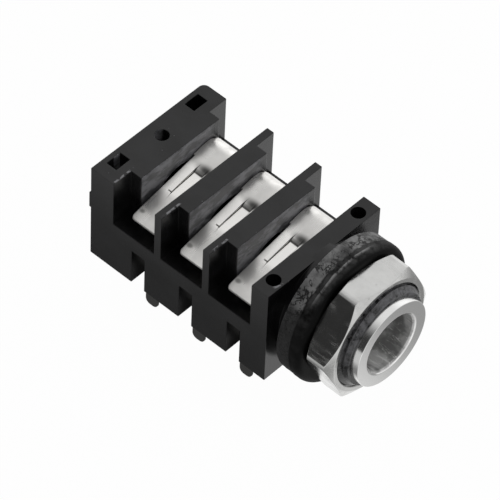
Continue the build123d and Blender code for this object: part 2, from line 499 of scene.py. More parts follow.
@dataclass(frozen=True)
class TurnedPlating(Finish):
    """Nickel on a turned sleeve: rings on its face, streaks down its bore."""

    bore_mm: float = 3.4
    ring_scale: float = 4.0

    def surface(self, paint: Paint) -> dict:
        """Rings by radius, streaks along the bore and dark smears inside.

        Args:
            paint: the finish's node tree.

        Returns:
            The sockets that vary.
        """
        place = paint.place()
        along, side, up = paint.axes(place)
        radius = (side * side + up * up).root()
        inside = radius.span(self.bore_mm + 0.05, self.bore_mm - 0.05)
        scale = self.ring_scale * MM
        rings = paint.noise(paint.point(radius * scale, along * scale, 0.0), 3.0, 3.0, 0.6)
        streaks = paint.noise(paint.stretched(place, (0.35, 2.0, 2.0)), 1.1, 4.0, 0.65)
        smears = paint.noise(place, 0.4, 3.0, 0.6).span(0.4, 0.6)
        scratches = paint.strokes(paint.stretched(place, (0.6, 1.6, 1.6)), 0.8, 0.012)
        smears = smears * (0.4 + 0.6 * along.span(2.0, 6.0))
        color = paint.mix(inside * (0.3 + 0.7 * smears), self.color, self.shade(0.3))
        color = paint.mix(inside * streaks.span(0.56, 0.72), color, self.shade(1.1))
        color = paint.mix(inside * scratches * streaks.span(0.4, 0.6), color, self.shade(1.2))
        return {
            "Base Color": color,
            "Metallic": 1.0 - 0.75 * inside,
            "Roughness": self.roughness - 0.04 + 0.08 * rings + inside * (0.1 + 0.25 * streaks),
            "Normal": paint.bump(rings + inside * streaks, 0.004),
        }


@dataclass(frozen=True)
class StripPlating(Finish):
    """Plated spring strip: rolled grain, a dark spot at each tail, painted highlights on the leaf
    and arch, painted shade on the bridge's far leg and on the pins.
    """

    first_mm: float = -5.435
    pitch_mm: float = 6.35
    tail_spot_mm: Pair = (-1.3, -6.05)
    leg_shade_mm: Pair = (0.45, 1.0)
    pin_top_mm: float = -5.6
    roll: float = 0.13

    def surface(self, paint: Paint) -> dict:
        """Grain along the strip, a rolled leaf, a dark spot at each tail, painted highlights on the
        pressed rails and the arch's crown, and painted shade on the bridge's far leg and the pins.

        Args:
            paint: the finish's node tree.

        Returns:
            The sockets that vary.
        """
        place = paint.place()
        along_bore, along, height = paint.axes(place)
        across = (along_bore - self.first_mm).wrapped(self.pitch_mm / 2)
        grain = paint.noise(paint.stretched(place, (2.5, 0.4, 0.4)), 1.2, 2.0)
        haze = paint.noise(place, 0.45, 3.0, 0.5)
        off_x = across - self.tail_spot_mm[0]
        off_y = along - self.tail_spot_mm[1]
        from_tail_spot = (off_x * off_x + 2.2 * off_y * off_y).root() - 0.45 * haze
        # A dark spot on each tail, slightly rougher.
        tail_spot = 0.8 * from_tail_spot.span(0.3, -0.1)
        # Painted shade: the pins are darkened below the housing.
        pins = height.span(self.pin_top_mm + 0.8, self.pin_top_mm - 0.4)
        # Painted highlight: the pressed rails and bridge are made lighter than the rest of the leaf.
        pressed = along.band(-3.5, -2.7, 0.5, 1.3)
        rolled = along.band(-4.8, -2.8, 0.8, 2.8)
        # Painted shade on the bridge's far leg, where it rises to the leaf.
        far_x = across - self.leg_shade_mm[0]
        far_y = along - self.leg_shade_mm[1]
        leg_shade = (0.3 * far_x * far_x + far_y * far_y).root().span(0.9, 0.1)
        # Painted highlight in patches on the arch's crown.
        crown_highlight = along.span(3.4, 4.4) * haze.span(0.35, 0.6)
        color = paint.mix(haze.span(0.3, 0.75), self.shade(0.95), self.shade(0.8))
        color = paint.mix(0.85 * pressed + crown_highlight, color, self.shade(1.3))
        color = paint.mix(tail_spot, color, self.shade(0.3))
        color = paint.mix(leg_shade, color, self.shade(0.09))
        color = paint.mix(pins, color, self.shade(0.2))
        return {
            "Base Color": color,
            "Roughness": self.roughness - 0.08 + 0.1 * grain + 0.12 * haze + 0.1 * tail_spot,
            "Normal": paint.bump(0.003 * haze - self.roll * rolled * across, 1.0),
        }


def anywhere(at: Vector, way: Vector) -> bool:
    """The test that every place passes."""
    return True


class Bench:
    """Work on one piece, in millimetres, with the tools of edit mode."""

    def __init__(self, piece: bpy.types.Object) -> None:
        """Takes an object on the bench."""
        self.piece = piece

    @staticmethod
    def clear() -> None:
        """Leaves edit mode and deselects every object."""
        if bpy.context.mode != "OBJECT":
            bpy.ops.object.mode_set(mode="OBJECT")
        bpy.ops.object.select_all(action="DESELECT")

    @staticmethod
    def settle() -> None:
        """Puts the selected object's place, turn and size into its mesh."""
        bpy.ops.object.transform_apply(location=True, rotation=True, scale=True)

    @classmethod
    def take(cls, name: str) -> "Bench":
        """Names the active object, settles it and takes it.

        Args:
            name: the piece's name.

        Returns:
            The bench with the piece on it.
        """
        piece = bpy.context.active_object
        piece.name = name
        piece.data.name = name
        cls.settle()
        return cls(piece)

    @classmethod
    def block(cls, name: str, low: Point, high: Point) -> "Bench":
        """A box.

        Args:
            name: the piece's name.
            low: its lower corner.
            high: its upper corner.

        Returns:
            The bench with the box.
        """
        cls.clear()
        size = Vector(high) - Vector(low)
        middle = (Vector(high) + Vector(low)) / 2
        bpy.ops.mesh.primitive_cube_add(size=1.0, location=middle, scale=size)
        return cls.take(name)

    @classmethod
    def rod(cls, name: str, radius: float, low: Point, high: Point, sides: int = 96) -> "Bench":
        """A round rod.

        Args:
            name: the piece's name.
            radius: of the rod.
            low: where it begins.
            high: where it ends.
            sides: how many faces go round.

        Returns:
            The bench with the rod.
        """
        cls.clear()
        way = Vector(high) - Vector(low)
        bpy.ops.mesh.primitive_cylinder_add(
            vertices=sides,
            radius=radius,
            depth=way.length,
            location=(Vector(high) + Vector(low)) / 2,
            rotation=way.to_track_quat("Z", "Y").to_euler(),
        )
        return cls.take(name)

    @classmethod
    def traced(cls, name: str, points: Sequence[Point]) -> "Bench":
        """A chain of edges, drawn point after point.

        Args:
            name: the piece's name.
            points: where the chain goes.

        Returns:
            The bench, in edit mode, with the whole chain selected.
        """
        cls.clear()
        bpy.ops.mesh.primitive_plane_add(size=1.0, location=points[0])
        bench = cls.take(name)
        bpy.ops.object.mode_set(mode="EDIT")
        bpy.ops.mesh.select_mode(type=Pick.POINTS.value)
        bpy.ops.mesh.select_all(action="SELECT")
        bpy.ops.mesh.merge(type="CENTER")
        for before, after in zip(points, points[1:]):
            step = Vector(after) - Vector(before)
            bpy.ops.mesh.extrude_vertices_move(TRANSFORM_OT_translate={"value": step})
        bpy.ops.mesh.select_all(action="SELECT")
        return bench

    @classmethod
    def turned(cls, name: str, outline: Outline, steps: int = 128) -> "Bench":
        """A solid turned about the bore's axis.

        Args:
            name: the piece's name.
            outline: closed list of (x, radius).
            steps: how many faces go round.

        Returns:
            The bench with the closed solid.
        """
        bench = cls.traced(name, [(x, 0.0, radius) for x, radius in (*outline, outline[0])])
        bpy.ops.mesh.remove_doubles(threshold=MERGE)
        bpy.ops.mesh.spin(steps=steps, angle=math.tau, center=(0, 0, 0), axis=(1, 0, 0))
        bench.tidy()
        return bench

    def hold(self) -> None:
        """Makes this piece the only selected one, out of edit mode."""
        self.clear()
        self.piece.select_set(True)
        bpy.context.view_layer.objects.active = self.piece

    def edit(self) -> None:
        """Goes into edit mode on this piece."""
        if bpy.context.mode != "EDIT_MESH" or bpy.context.active_object != self.piece:
            self.hold()
            bpy.ops.object.mode_set(mode="EDIT")

    def select_whole(self) -> None:
        """Selects the whole piece in edit mode, with its doubles merged."""
        self.edit()
        bpy.ops.mesh.select_all(action="SELECT")
        bpy.ops.mesh.remove_doubles(threshold=MERGE)

    def tidy(self) -> None:
        """Merges doubles and turns the faces outwards."""
        self.select_whole()
        bpy.ops.mesh.normals_make_consistent(inside=False)
        bpy.ops.object.mode_set(mode="OBJECT")

    def dissolve(self) -> None:
        """Removes the lines that lie within flat faces."""
        self.select_whole()
        bpy.ops.mesh.dissolve_limited(angle_limit=math.radians(0.5))
        bpy.ops.object.mode_set(mode="OBJECT")

    def select(self, kind: Pick, test: Test) -> None:
        """Selects what passes a test on its place and its normal or direction.

        Args:
            kind: points, edges or faces.
            test: takes the middle and the normal (an edge's direction).
        """
        self.edit()
        bpy.ops.mesh.select_mode(type=kind.value)
        bpy.ops.mesh.select_all(action="DESELECT")
        mesh = bmesh.from_edit_mesh(self.piece.data)
        if kind is Pick.POINTS:
            for vert in mesh.verts:
                vert.select_set(test(vert.co, vert.normal))
        elif kind is Pick.EDGES:
            for edge in mesh.edges:
                start, end = (vert.co for vert in edge.verts)
                edge.select_set(test((start + end) / 2, (end - start).normalized()))
        else:
            for face in mesh.faces:
                face.select_set(test(face.calc_center_median(), face.normal))
        mesh.select_flush_mode()
        bmesh.update_edit_mesh(self.piece.data)

    def extrude(self, way: Point) -> None:
        """Draws the selection out."""
        bpy.ops.mesh.extrude_region_move(TRANSFORM_OT_translate={"value": way})

    def slice(self, test: Test, axis: Axis, place: float) -> None:
        """Cuts faces along a plane, and keeps both sides.

        Args:
            test: which faces.
            axis: the way that the plane faces.
            place: where it stands on that axis.
        """
        self.select(Pick.FACES, test)
        normal = Vector()
        normal[axis.value] = 1.0
        bpy.ops.mesh.bisect(plane_co=normal * place, plane_no=normal)

    def delete(self, test: Test) -> None:
        """Deletes the faces that pass a test."""
        self.select(Pick.FACES, test)
        bpy.ops.mesh.delete(type="FACE")

    def round_off(self, kind: Pick, test: Test, width: float, segments: int) -> None:
        """Rounds points or edges.

        Args:
            kind: points or edges.
            test: which of them.
            width: how far the rounding reaches.
            segments: how many faces it has.
        """
        self.select(kind, test)
        affect = "VERTICES" if kind is Pick.POINTS else "EDGES"
        bpy.ops.mesh.bevel(offset=width, segments=segments, affect=affect)

    def modify(self, kind: str, **settings: object) -> None:
        """Adds a modifier and applies it.

        Args:
            kind: the modifier's type.
            settings: its properties.
        """
        self.hold()
        added = self.piece.modifiers.new(kind.lower(), kind)
        for name, value in settings.items():
            setattr(added, name, value)
        bpy.ops.object.modifier_apply(modifier=added.name)

    def join(self, how: Join, other: "Bench") -> None:
        """Cuts, adds or keeps by another solid, which is used up."""
        self.modify("BOOLEAN", operation=how.value, solver="EXACT", object=other.piece)
        bpy.data.objects.remove(other.piece)

    def bevel(self, width: float, segments: int = 2, angle: float = 35.0) -> None:
        """Breaks every edge sharper than an angle.

        Args:
            width: how far the bevel reaches.
            segments: how many faces it has.
            angle: the angle, in degrees.
        """
        self.modify(
            "BEVEL",
            width=width,
            segments=segments,
            limit_method="ANGLE",
            angle_limit=math.radians(angle),
            use_clamp_overlap=False,
        )

    def smooth(self, angle: float = 35.0) -> None:
        """Smooths the shading, with flat faces kept flat.

        Args:
            angle: the sharpest turn that is smoothed, in degrees.
        """
        self.hold()
        bpy.ops.object.shade_smooth_by_angle(angle=math.radians(angle))
        self.modify("WEIGHTED_NORMAL", keep_sharp=True, weight=80)

    def copy(self, name: str, shift: Point) -> "Bench":
        """A copy with its own mesh, moved.

        Args:
            name: the copy's name.
            shift: how far it moves.

        Returns:
            The bench with the copy.
        """
        self.hold()
        bpy.ops.object.duplicate(linked=False)
        bpy.ops.transform.translate(value=shift)
        return self.take(name)

    def deliver(self, finish: bpy.types.Material, slot: str, *nodes: str) -> bpy.types.Object:
        """Brings the piece to metres, paints it and lets it stand for its nodes.

        Args:
            finish: its material.
            slot: the record's material slot, which is not used.
            nodes: the solids that it stands for.

        Returns:
            The finished object.
        """
        self.hold()
        self.piece.scale = (MM, MM, MM)
        self.settle()
        self.piece.data.materials.clear()
        self.piece.data.materials.append(finish)
        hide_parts(*nodes)
        log.info("%s: %d faces", self.piece.name, len(self.piece.data.polygons))
        return self.piece


@dataclass
class Thread:
    """A right-hand screw thread about the bore's axis."""

    crest: float = 5.9
    root: float = 5.32
    pitch: float = 1.0
    crest_flat: float = 0.16
    root_flat: float = 0.12
    steps: int = 72

    def rod(self, name: str, start: float, end: float, grow: float = 0.0) -> Bench:
        """A threaded rod.

        Args:
            name: the piece's name.
            start: where it begins along the bore.
            end: where it stops.
            grow: how much larger its radii are, for a nut's thread.

        Returns:
            The bench with the closed rod.
        """
        turns = math.ceil(end - start) + 3
        low = math.floor(start) - 2.0
        flank = (self.pitch - self.crest_flat - self.root_flat) / 2
        tooth = [
            (low, self.root),
            (low + self.root_flat, self.root),
            (low + self.root_flat + flank, self.crest),
            (low + self.root_flat + flank + self.crest_flat, self.crest),
            (low + self.pitch, self.root),
        ]
        rod = Bench.traced(name, [(x, 0.0, radius + grow) for x, radius in tooth])
        rod.modify(
            "SCREW",
            axis="X",
            angle=math.tau,
            screw_offset=self.pitch,
            iterations=turns,
            steps=self.steps,
            render_steps=self.steps,
            use_merge_vertices=True,
            merge_threshold=MERGE,
        )
        rod.tidy()
        for place, normal in ((start, (-1, 0, 0)), (end, (1, 0, 0))):
            rod.edit()
            bpy.ops.mesh.select_all(action="SELECT")
            bpy.ops.mesh.bisect(
                plane_co=(place, 0, 0), plane_no=normal, clear_outer=True, use_fill=True
            )
        rod.tidy()
        return rod


@dataclass
class Housing:
    """The black moulding with its open slots, shoulder and threaded bush."""

    rear: float = -24.6
    front: float = -1.21
    half_width: float = 7.925
    top: float = 6.06
    bottom: float = -6.26
    slot_first: float = -3.39
    pitch: float = 6.35
    slot_count: int = 3
    slot_middle: float = 4.09
    slot_side: float = 5.45
    step_half: float = 5.49
    pocket_half: float = 5.94
    sill: float = 0.26
    floor: float = -3.7
    notch_half: float = 0.85
    notch_start: float = 5.34
    notch_top: float = -1.68
    shoulder: float = 6.2
    tunnel: float = 3.575
    tunnel_end: float = -22.73
    sleeve_hole: float = 3.9
    sleeve_end: float = -2.43
    bush_start: float = -0.4
    bush_end: float = 6.87
    chamfer_length: float = 1.1
    chamfer_depth: float = 0.7
    crest_play: float = 0.05
    edge: float = 0.07
    far_corner: float = 0.7
    overlap: float = 0.5
    beyond: float = 2.0
    latch_hole: Point = (1.3, 1.88, 4.0)
    latch_at: Pair = (1.275, 5.45)
    core_radius: float = 0.75
    core_depth: float = 2.0
    rear_core: float = 1.91
    front_core: Pair = (1.14, 5.97)
    gate_depth: Pair = (0.25, 0.5)
    gate_width: float = 0.6
    gate_levels: Pair = (0.31, 2.41)
    gate_edge: float = 0.12

    def slot_cutter(self, front: float) -> Bench:
        """The space of one slot: a pocket that widens above the sills.

        Args:
            front: where the slot's front wall stands.

        Returns:
            The bench with the closed cutter.
        """
        cutter = Bench.block(
            "slot_cutter",
            (front - self.slot_middle, -self.pocket_half, self.floor),
            (front, self.pocket_half, self.top + self.beyond),
        )
        cutter.slice(anywhere, Axis.UP, self.sill)
        for side in (-1, 1):
            cutter.select(
                Pick.FACES, lambda at, way: way.y * side > STRAIGHT and at.z > self.sill
            )
            cutter.extrude((0, side * (self.half_width + self.beyond - self.pocket_half), 0))
        for side in (-1, 1):
            cutter.slice(anywhere, Axis.ACROSS, side * self.step_half)
        cutter.select(
            Pick.FACES,
            lambda at, way: way.x < -STRAIGHT and at.z > self.sill and abs(at.y) > self.step_half,
        )
        cutter.extrude((self.slot_middle - self.slot_side, 0, 0))
        cutter.tidy()
        return cutter

    def build(self) -> Bench:
        """Carves the moulding out of its block.

        Returns:
            The bench with the finished moulding.
        """
        body = Bench.block(
            "housing_moulding",
            (self.rear, -self.half_width, self.bottom),
            (self.front, self.half_width, self.top),
        )
        inside = (self.front - self.overlap, 0, 0)
        body.join(Join.ADD, Bench.rod("shoulder", self.shoulder, inside, (0, 0, 0), 128))
        for index in range(self.slot_count):
            self.cut_slot(body, self.slot_first - index * self.pitch)
        rear, mouth = (self.tunnel_end, 0, 0), (self.overlap, 0, 0)
        body.join(Join.CUT, Bench.rod("tunnel", self.tunnel, rear, mouth))
        self.blind_holes(body)
        body.dissolve()
        body.round_off(
            Pick.EDGES,
            lambda at, way: abs(way.z) > STRAIGHT
            and at.x < self.rear + ON_PLANE
            and at.y > self.half_width - ON_PLANE,
            self.far_corner,
            5,
        )
        body.bevel(self.edge)
        self.gate(body)
        body.join(Join.ADD, self.bush())
        hole_end = (self.bush_end + self.beyond, 0, 0)
        hole = Bench.rod("sleeve_hole", self.sleeve_hole, (self.sleeve_end, 0, 0), hole_end)
        body.join(Join.CUT, hole)
        body.smooth()
        return body

    def cut_slot(self, body: Bench, front: float) -> None:
        """Cuts one slot and the notches for its two pins.

        Args:
            body: the moulding.
            front: where the slot's front wall stands.
        """
        body.join(Join.CUT, self.slot_cutter(front))
        middle = front - self.slot_middle / 2
        for side in (-1, 1):
            ends = sorted((side * self.notch_start, side * (self.half_width + self.beyond)))
            notch = Bench.block(
                "notch_cutter",
                (middle - self.notch_half, ends[0], self.bottom - self.beyond),
                (middle + self.notch_half, ends[1], self.notch_top),
            )
            body.join(Join.CUT, notch)

    def blind_holes(self, body: Bench) -> None:
        """Cores in the top face: two square ones, one round, and two by the bush.

        Args:
            body: the moulding.
        """
        above = self.top + self.beyond
        long, wide, deep = self.latch_hole
        x = self.rear + self.latch_at[0]
        for y in (-self.latch_at[1], self.latch_at[1]):
            low = (x - long / 2, y - wide / 2, self.top - deep)
            body.join(Join.CUT, Bench.block("latch_hole", low, (x + long / 2, y + wide / 2, above)))
        front = self.front - self.front_core[0]
        cores = [(front, -self.front_core[1]), (front, self.front_core[1])]
        for x, y in [(self.rear + self.rear_core, 0.0), *cores]:
            low = (x, y, self.top - self.core_depth)
            cutter = Bench.rod("round_hole", self.core_radius, low, (x, y, above), 40)
            body.join(Join.CUT, cutter)

    def gate(self, body: Bench) -> None:
        """The stub that the moulding's gate left on the near rear corner.

        Args:
            body: the moulding.
        """
        stub = Bench.block(
            "gate",
            (self.rear - self.gate_depth[0], -self.half_width, self.gate_levels[0]),
            (self.rear + self.gate_depth[1], self.gate_width - self.half_width, self.gate_levels[1]),
        )
        stub.bevel(self.gate_edge, 3)
        body.join(Join.ADD, stub)

    def bush(self) -> Bench:
        """The threaded bush, chamfered at its mouth.

        Returns:
            The bench with the bush, solid for now.
        """
        rod = Thread().rod("bush", self.bush_start, self.bush_end)
        wide = Thread.crest + self.crest_play
        blank = [
            (-1.0, 0.0),
            (-1.0, wide),
            (self.bush_end - self.chamfer_length, wide),
            (self.bush_end, wide - self.chamfer_depth),
            (self.bush_end, 0.0),
        ]
        rod.join(Join.KEEP, Bench.turned("bush_blank", blank))
        return rod

    def dress(self, finish: bpy.types.Material) -> None:
        """Builds the moulding and puts it in its place."""
        piece = self.build().deliver(finish, "housing_plastic", "housing")
        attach(piece, "socket")


@dataclass
class Sleeve:
    """The flanged metal sleeve that lines the bush."""

    bore: float = 3.25
    outside: float = 3.9
    flange: float = 4.87
    start: float = -2.43
    seat: float = 6.87
    face: float = 7.77
    mouth: float = 0.28
    edge: float = 0.06

    def dress(self, finish: bpy.types.Material) -> None:
        """Turns the sleeve and puts it in its place.

        Args:
            finish: its material.
        """
        outline = [
            (self.start, self.bore),
            (self.start, self.outside),
            (self.seat, self.outside),
            (self.seat, self.flange),
            (self.face, self.flange),
            (self.face, self.bore + self.mouth),
            (self.face - self.mouth, self.bore),
        ]
        sleeve = Bench.turned("bore_sleeve", outline, 160)
        sleeve.bevel(self.edge, 3)
        sleeve.smooth()
        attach(sleeve.deliver(finish, "sleeve_plating", "ferrule"), "socket")


@dataclass
class Washers:
    """The rough inner washer and the smooth outer one."""

    hole: float = 6.05
    rim: float = 7.85
    seat: float = 0.0
    between: float = 1.6
    front: float = 2.9
    front_round: float = 0.8
    rim_rows: int = 10
    rim_depth: float = 0.12
    patch: float = 0.9
    rim_reach: float = 0.2
    fibre_edge: float = 0.08
    rubber_edge: float = 0.05

    def inner(self, finish: bpy.types.Material) -> None:
        """Presses the fibre washer, with a rim that is torn rough.

        Args:
            finish: its material.
        """
        row = (self.between - self.seat) / self.rim_rows
        rows = [(self.seat + row * index, self.rim) for index in range(self.rim_rows + 1)]
        outline = [(self.seat, self.hole), *rows, (self.between, self.hole)]
        washer = Bench.turned("fibre_washer", outline, 288)
        washer.bevel(self.fibre_edge, 2)
        group = washer.piece.vertex_groups.new(name="rim")
        washer.select(
            Pick.POINTS,
            lambda at, way: math.hypot(at.y, at.z) > self.rim - self.rim_reach
            and self.seat + ON_PLANE < at.x < self.between - ON_PLANE,
        )
        bpy.ops.object.vertex_group_assign()
        torn = bpy.data.textures.new("torn_rim", "CLOUDS")
        torn.noise_scale = self.patch
        torn.noise_depth = 2
        washer.modify(
            "DISPLACE",
            texture=torn,
            strength=self.rim_depth,
            mid_level=1.0,
            vertex_group=group.name,
        )
        washer.smooth(60.0)
        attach(washer.deliver(finish, "fibre_washer", "inner_washer"), "socket")

    def outer(self, finish: bpy.types.Material) -> None:
        """Turns the smooth washer, rounded at the front of its rim.

        Args:
            finish: its material.
        """
        rear, front = self.between, self.front
        outline = [(rear, self.hole), (rear, self.rim), (front, self.rim), (front, self.hole)]
        washer = Bench.turned("smooth_washer", outline, 192)
        washer.round_off(
            Pick.EDGES,
            lambda at, way: at.x > front - ON_PLANE
            and math.hypot(at.y, at.z) > self.rim - self.rim_reach
            and abs(way.x) < 1.0 - STRAIGHT,
            self.front_round,
            8,
        )
        washer.bevel(self.rubber_edge, 2)
        washer.smooth()
        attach(washer.deliver(finish, "plastic_washer", "outer_washer"), "nut_washer")


@dataclass
class Nut:
    """The hexagon nut on the bush."""

    seat: float = 2.9
    thick: float = 3.27
    flats: float = 13.0
    corner_turn: float = 54.5
    face_radius: float = 6.4
    bevel_turn: float = 30.0
    plain_hole: float = 5.2
    mouth: float = 5.95
    edge: float = 0.05
    corner_round: float = 0.4
    thread_play: float = 0.1
    cone_play: float = 0.3
    beyond: float = 1.0

    def build(self) -> Bench:
        """Bevels a hexagon at both faces and cuts its thread.

        Returns:
            The bench with the finished nut.
        """
        front = self.seat + self.thick
        corner = self.flats / math.sqrt(3)
        nut = Bench.rod("hexagon_nut", corner, (self.seat, 0, 0), (front, 0, 0), 6)
        point = nut.piece.data.vertices[0].co
        nut.hold()
        nut.piece.rotation_euler.x = math.radians(self.corner_turn) - math.atan2(point.z, point.y)
        nut.settle()
        nut.round_off(
            Pick.EDGES, lambda at, way: abs(way.x) > STRAIGHT, self.corner_round, 4
        )
        wide = corner + self.cone_play
        deep = (wide - self.face_radius) * math.tan(math.radians(self.bevel_turn))
        cone = [
            (self.seat, 0.0),
            (self.seat, self.face_radius),
            (self.seat + deep, wide),
            (front - deep, wide),
            (front, self.face_radius),
            (front, 0.0),
        ]
        nut.join(Join.KEEP, Bench.turned("nut_cone", cone, 160))
        slope = self.mouth - self.plain_hole
        start, end = self.seat - self.beyond, front + self.beyond
        hole = [
            (start, 0.0),
            (start, self.mouth + self.beyond),
            (self.seat + slope, self.plain_hole),
            (front - slope, self.plain_hole),
            (end, self.mouth + self.beyond),
            (end, 0.0),
        ]
        nut.join(Join.CUT, Bench.turned("nut_hole", hole, 160))
        nut.dissolve()
        nut.bevel(self.edge, 3, 20.0)
        nut.join(Join.CUT, Thread().rod("nut_thread", start, end, self.thread_play))
        nut.smooth(30.0)
        return nut

    def dress(self, finish: bpy.types.Material) -> None:
        """Builds the nut and puts it in its place."""
        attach(self.build().deliver(finish, "nut_plating", "hex_nut"), "nut")


@dataclass
class Contacts:
    """The three contact strips and the three break contacts."""

    names: tuple[str, ...] = ("sleeve", "ring", "tip")
    first: float = -5.435
    pitch: float = 6.35
    strip: float = 0.35
    tilt: float = 11.5
    level: float = 3.67
    row: float = 5.715
    arch_half: float = 1.95
    leaf_half: float = 1.76
    pin_half: float = 0.8
    arch_bend: float = 2.125
    arch_steps: int = 14
    tail_end: float = 7.215
    tail_tilt: float = 13.5
    tail_round: float = 0.5
    tail_bend: float = 0.25
    step: float = 1.75
    bridge_half: float = 0.55
    slit: float = 0.035
    bridge_near: float = -2.75
    bridge_far: float = 0.75
    crease: float = 0.45
    crease_level: float = 3.3
    root_fold: float = 0.2
    crease_fold: float = 0.12
    far_fold: float = 0.25
    hook: float = 0.4
    shoulder_level: float = -3.7
    pin_tip: float = -10.79
    pin_round: float = 0.625
    edge: float = 0.09
    hinge: float = 2.8163
    hinge_reach: Pair = (0.4, -0.6)
    leg_reach: float = 0.1
    break_half: float = 1.5
    break_bend: float = 0.6
    break_reach: float = 1.3
    break_gap: float = 0.03

    def leaf(self, y: float, drop: float = 0.0) -> Pair:
        """A point (y, z) of the leaf's middle plane, or of a plane under it."""
        slope = math.radians(self.tilt)
        return y, self.level + y * math.tan(slope) - (self.strip / 2 + drop) / math.cos(slope)

    def within(self, at: Vector, rows: Pair, off: Pair) -> bool:
        """Whether a place is between two rows, and between two distances off the middle."""
        return rows[0] < at.y < rows[1] and off[0] <= abs(at.x - self.first) < off[1]

    @staticmethod
    def rounded(before: Pair, corner: Pair, after: Pair, radius: float, steps: int) -> list[Pair]:
        """Points of the arc that rounds one corner of a folded strip.

        Args:
            before: a point on the way in.
            corner: the corner.
            after: a point on the way out.
            radius: of the arc.
            steps: how many runs the arc has.

        Returns:
            The arc's points (y, z), from the way in to the way out.
        """
        middle = Vector(corner)
        back = (Vector(before) - middle).normalized()
        ahead = (Vector(after) - middle).normalized()
        half = back.angle(ahead) / 2
        centre = middle + (back + ahead).normalized() * radius / math.sin(half)
        start = middle + back * radius / math.tan(half) - centre
        end = middle + ahead * radius / math.tan(half) - centre
        turn = start.angle(end)
        return [
            tuple(
                centre
                + (start * math.sin(turn * (1 - share)) + end * math.sin(turn * share))
                / math.sin(turn)
            )
            for share in (step / steps for step in range(steps + 1))
        ]

    def sheet(self, name: str, path: Outline, half: float) -> Bench:
        """A sheet drawn across from its folded line.

        Args:
            name: the piece's name.
            path: the folded line (y, z).
            half: half of the sheet's width.

        Returns:
            The bench with the sheet, not yet thick.
        """
        sheet = Bench.traced(name, [(self.first - half, y, z) for y, z in path])
        sheet.extrude((2 * half, 0, 0))
        return sheet

    def cut_pin(self, sheet: Bench, side: float) -> None:
        """Narrows the leg to its pin and rounds the pin's end.

        Args:
            sheet: the sheet, not yet thick.
            side: the row's place across the socket.
        """
        leg = (side - self.leg_reach, side + self.leg_reach)
        sheet.slice(lambda at, way: leg[0] < at.y < leg[1], Axis.UP, self.shoulder_level)
        for hand in (-1, 1):
            sheet.slice(
                lambda at, way: leg[0] < at.y < leg[1] and at.z < self.shoulder_level,
                Axis.ALONG,
                self.first + hand * self.pin_half,
            )
        sheet.delete(
            lambda at, way: at.z < self.shoulder_level and abs(at.x - self.first) > self.pin_half
        )
        sheet.round_off(
            Pick.POINTS, lambda at, way: at.z < self.pin_tip + ON_PLANE, self.pin_round, 6
        )

    def thicken(self, sheet: Bench) -> None:
        """Gives the sheet its thickness and soft edges.

        Args:
            sheet: the sheet, not yet thick.
        """
        sheet.tidy()
        sheet.modify("SOLIDIFY", thickness=self.strip, offset=0.0, use_even_offset=True)
        sheet.bevel(self.edge, 3, 40.0)
        sheet.smooth(40.0)

    def spring_strip(self) -> Bench:
        """Folds one contact strip: tail, leaf with its bridge, arch, leg and pin.

        Returns:
            The bench with the finished strip, at the first place.
        """
        leg = (self.row, 0.0)
        arch = self.rounded(
            self.leaf(0.0), self.leaf(self.row), leg, self.arch_bend, self.arch_steps
        )
        bend = self.leaf(-self.row)
        tail_drop = (self.tail_end - self.row) * math.tan(math.radians(self.tail_tilt))
        path = [(-self.tail_end, bend[1] - tail_drop), bend, *arch, (self.row, self.pin_tip)]
        sheet = self.sheet("contact_strip", path, self.arch_half)
        bridge = (self.bridge_near, self.bridge_far)
        slit = (self.bridge_half, self.bridge_half + self.slit)
        for y in (self.step, self.bridge_near, self.crease, self.bridge_far):
            sheet.slice(lambda at, way: at.y < self.row - self.arch_bend, Axis.ACROSS, y)
        for hand in (-1, 1):
            place = self.first + hand * self.leaf_half
            sheet.slice(lambda at, way: at.y < self.step, Axis.ALONG, place)
            for half in slit:
                sheet.slice(
                    lambda at, way: self.within(at, bridge, (0.0, self.leaf_half)),
                    Axis.ALONG,
                    self.first + hand * half,
                )
        sheet.delete(lambda at, way: at.y < self.step and abs(at.x - self.first) > self.leaf_half)
        sheet.delete(lambda at, way: self.within(at, bridge, slit))
        self.hook_slits(sheet)
        self.press_bridge(sheet)
        self.shape_tail(sheet)
        self.cut_pin(sheet, self.row)
        self.thicken(sheet)
        return sheet

    def hook_slits(self, sheet: Bench) -> None:
        """Turns the near end of each slit outwards, where the press tool turned.

        Args:
            sheet: the sheet, not yet thick.
        """
        start = self.bridge_half + self.slit
        end = start + self.hook
        far = self.bridge_near + self.slit
        bridge, foot = (self.bridge_near, self.bridge_far), (self.bridge_near, far)
        rail = (start, self.leaf_half)
        sheet.slice(lambda at, way: self.within(at, bridge, rail), Axis.ACROSS, far)
        for hand in (-1, 1):
            place = self.first + hand * end
            sheet.slice(lambda at, way: self.within(at, foot, rail), Axis.ALONG, place)
        sheet.delete(lambda at, way: self.within(at, foot, (start, end)))

    def press_bridge(self, sheet: Bench) -> None:
        """Presses the bridge down to its crease and rounds its folds.

        Args:
            sheet: the sheet, not yet thick.
        """
        inner = (0.0, self.bridge_half + self.slit / 2)
        crease = (self.crease - ON_PLANE, self.crease + ON_PLANE)
        drop = self.crease_level - self.leaf(self.crease)[1]
        sheet.select(Pick.POINTS, lambda at, way: self.within(at, crease, inner))
        bpy.ops.transform.translate(value=(0, 0, drop))
        folds = (
            (self.bridge_near, self.root_fold),
            (self.crease, self.crease_fold),
            (self.bridge_far, self.far_fold),
        )
        for y, fold in folds:
            rows = (y - ON_PLANE, y + ON_PLANE)
            sheet.round_off(
                Pick.EDGES,
                lambda at, way: abs(way.x) > STRAIGHT and self.within(at, rows, inner),
                fold,
                4,
            )

